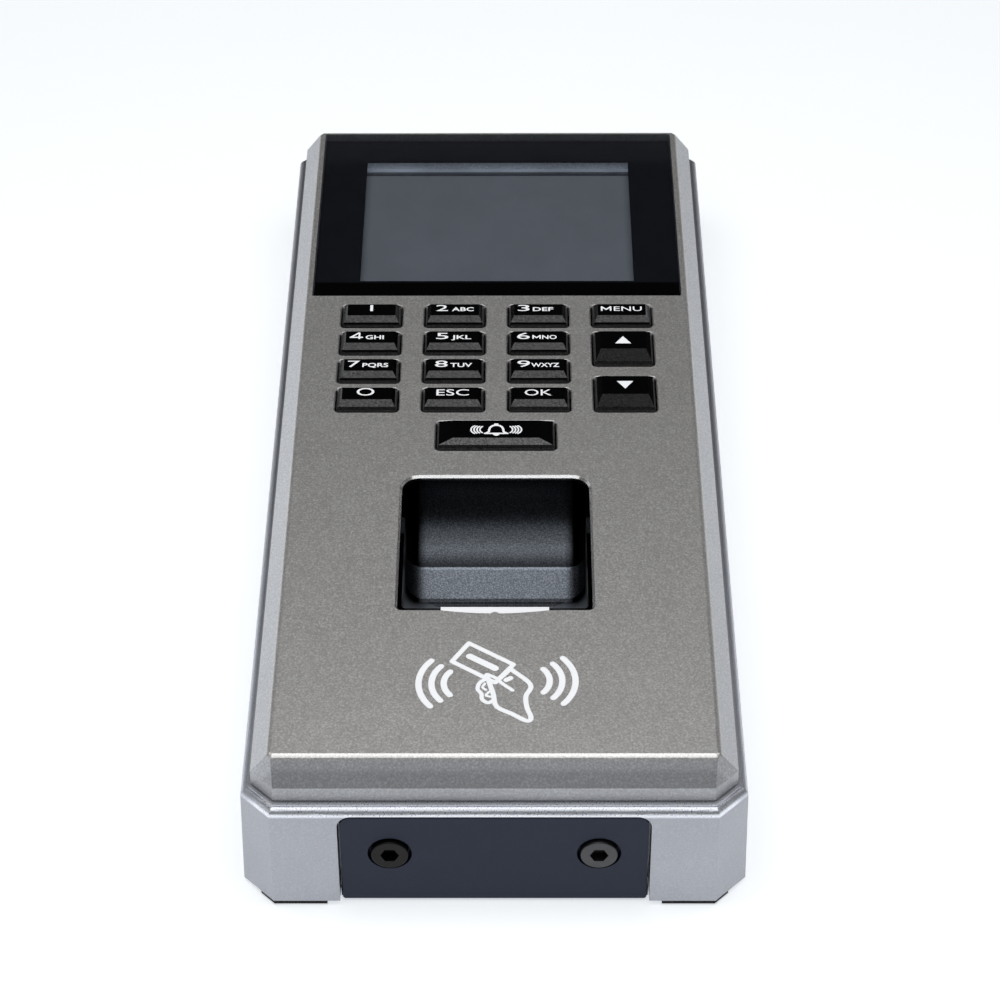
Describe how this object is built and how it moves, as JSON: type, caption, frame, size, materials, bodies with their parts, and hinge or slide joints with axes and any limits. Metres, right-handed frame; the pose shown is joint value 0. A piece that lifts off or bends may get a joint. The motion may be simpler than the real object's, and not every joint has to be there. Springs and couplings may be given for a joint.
{
  "type": "fingerprint scanner terminal",
  "caption": "Wall-mounted access terminal with a display window, keypad, finger well with a sloping glass platen and a screwed wall bracket.",
  "frame": {"origin": "middle of the plane the four foot pads stand on, under the middle of the housing", "axes": "+X to the right of someone who faces the keys, +Y towards the display end (up on a wall), +Z out of the face"},
  "size_m": [0.0782, 0.1792, 0.0283],
  "materials": {
    "face_paint": "metallic grey paint, fine sparkle",
    "body_paint": "die-cast, grey textured paint",
    "seal_rubber": "matt",
    "foot_rubber": "matt",
    "bracket_paint": "slate powder coat",
    "dark_screw": "blackened",
    "bright_screw": "satin",
    "case_screw_steel": "zinc plated",
    "window_acrylic": "clear, hard coated",
    "mask_print": "black print",
    "lcd_surface": "unlit display",
    "frame_steel": "pressed sheet",
    "guide_acrylic": "milky",
    "key_plastic": "black, white legends",
    "mat_silicone": "matt",
    "board_green": "solder mask",
    "well_plastic": "satin black",
    "strip_acrylic": "milky white, lit",
    "sensor_glass_coat": "dark coated glass",
    "module_black": "matt",
    "cell_steel": "plain",
    "connector_white": "natural nylon",
    "antenna_copper": "film with copper coil",
    "plunger_plastic": "natural acetal"
  },
  "bodies": {
    "terminal": {"board_screw_1": "case_screw_steel", "board_screw_2": "case_screw_steel", "board_screw_3": "case_screw_steel", "board_screw_4": "case_screw_steel", "buzzer": "module_black", "card_antenna": "antenna_copper", "case_screw_1": "case_screw_steel", "case_screw_2": "case_screw_steel", "case_screw_3": "case_screw_steel", "case_screw_4": "case_screw_steel", "coin_cell": "cell_steel", "coin_cell_holder": "module_black", "display_board": "board_green", "display_window": "window_acrylic", "foot_pad_1": "foot_rubber", "foot_pad_2": "foot_rubber", "foot_pad_3": "foot_rubber", "foot_pad_4": "foot_rubber", "front_housing": "face_paint", "housing_seal": "seal_rubber", "keypad_board": "board_green", "keypad_mat": "mat_silicone", "lcd_frame": "frame_steel", "lcd_panel": "lcd_surface", "light_guide": "guide_acrylic", "light_strip": "strip_acrylic", "lock_connector": "connector_white", "main_board": "board_green", "network_connector": "connector_white", "power_connector": "connector_white", "processor": "module_black", "rear_housing": "body_paint", "relay": "module_black", "security_screw_left": "dark_screw", "security_screw_right": "bright_screw", "sensor_board": "board_green", "sensor_glass": "sensor_glass_coat", "sensor_module": "module_black", "sensor_well": "well_plastic", "speaker": "module_black", "tamper_switch": "module_black", "wall_bracket": "bracket_paint", "window_mask": "mask_print"},
    "key_0_body": {"key_0": "key_plastic"},
    "key_1_body": {"key_1": "key_plastic"},
    "key_2_body": {"key_2": "key_plastic"},
    "key_3_body": {"key_3": "key_plastic"},
    "key_4_body": {"key_4": "key_plastic"},
    "key_5_body": {"key_5": "key_plastic"},
    "key_6_body": {"key_6": "key_plastic"},
    "key_7_body": {"key_7": "key_plastic"},
    "key_8_body": {"key_8": "key_plastic"},
    "key_9_body": {"key_9": "key_plastic"},
    "key_bell_body": {"key_bell": "key_plastic"},
    "key_down_body": {"key_down": "key_plastic"},
    "key_esc_body": {"key_esc": "key_plastic"},
    "key_menu_body": {"key_menu": "key_plastic"},
    "key_ok_body": {"key_ok": "key_plastic"},
    "key_up_body": {"key_up": "key_plastic"},
    "tamper_plunger_body": {"tamper_plunger": "plunger_plastic"}
  },
  "joints": [
    {"name": "key_0_press", "type": "slide", "parent": "terminal", "child": "key_0_body", "axis": [0, 0, -1], "range_m": [0, 0.0006], "stiffness_N_per_m": 1500, "springref_m": -0.0004},
    {"name": "key_1_press", "type": "slide", "parent": "terminal", "child": "key_1_body", "axis": [0, 0, -1], "range_m": [0, 0.0006], "stiffness_N_per_m": 1500, "springref_m": -0.0004},
    {"name": "key_2_press", "type": "slide", "parent": "terminal", "child": "key_2_body", "axis": [0, 0, -1], "range_m": [0, 0.0006], "stiffness_N_per_m": 1500, "springref_m": -0.0004},
    {"name": "key_3_press", "type": "slide", "parent": "terminal", "child": "key_3_body", "axis": [0, 0, -1], "range_m": [0, 0.0006], "stiffness_N_per_m": 1500, "springref_m": -0.0004},
    {"name": "key_4_press", "type": "slide", "parent": "terminal", "child": "key_4_body", "axis": [0, 0, -1], "range_m": [0, 0.0006], "stiffness_N_per_m": 1500, "springref_m": -0.0004},
    {"name": "key_5_press", "type": "slide", "parent": "terminal", "child": "key_5_body", "axis": [0, 0, -1], "range_m": [0, 0.0006], "stiffness_N_per_m": 1500, "springref_m": -0.0004},
    {"name": "key_6_press", "type": "slide", "parent": "terminal", "child": "key_6_body", "axis": [0, 0, -1], "range_m": [0, 0.0006], "stiffness_N_per_m": 1500, "springref_m": -0.0004},
    {"name": "key_7_press", "type": "slide", "parent": "terminal", "child": "key_7_body", "axis": [0, 0, -1], "range_m": [0, 0.0006], "stiffness_N_per_m": 1500, "springref_m": -0.0004},
    {"name": "key_8_press", "type": "slide", "parent": "terminal", "child": "key_8_body", "axis": [0, 0, -1], "range_m": [0, 0.0006], "stiffness_N_per_m": 1500, "springref_m": -0.0004},
    {"name": "key_9_press", "type": "slide", "parent": "terminal", "child": "key_9_body", "axis": [0, 0, -1], "range_m": [0, 0.0006], "stiffness_N_per_m": 1500, "springref_m": -0.0004},
    {"name": "key_bell_press", "type": "slide", "parent": "terminal", "child": "key_bell_body", "axis": [0, 0, -1], "range_m": [0, 0.0006], "stiffness_N_per_m": 1500, "springref_m": -0.0004},
    {"name": "key_down_press", "type": "slide", "parent": "terminal", "child": "key_down_body", "axis": [0, 0, -1], "range_m": [0, 0.0006], "stiffness_N_per_m": 1500, "springref_m": -0.0004},
    {"name": "key_esc_press", "type": "slide", "parent": "terminal", "child": "key_esc_body", "axis": [0, 0, -1], "range_m": [0, 0.0006], "stiffness_N_per_m": 1500, "springref_m": -0.0004},
    {"name": "key_menu_press", "type": "slide", "parent": "terminal", "child": "key_menu_body", "axis": [0, 0, -1], "range_m": [0, 0.0006], "stiffness_N_per_m": 1500, "springref_m": -0.0004},
    {"name": "key_ok_press", "type": "slide", "parent": "terminal", "child": "key_ok_body", "axis": [0, 0, -1], "range_m": [0, 0.0006], "stiffness_N_per_m": 1500, "springref_m": -0.0004},
    {"name": "key_up_press", "type": "slide", "parent": "terminal", "child": "key_up_body", "axis": [0, 0, -1], "range_m": [0, 0.0006], "stiffness_N_per_m": 1500, "springref_m": -0.0004},
    {"name": "tamper_plunger_press", "type": "slide", "parent": "terminal", "child": "tamper_plunger_body", "axis": [0, 0, 1], "range_m": [0, 0.0008], "stiffness_N_per_m": 500, "springref_m": -0.001}
  ]
}
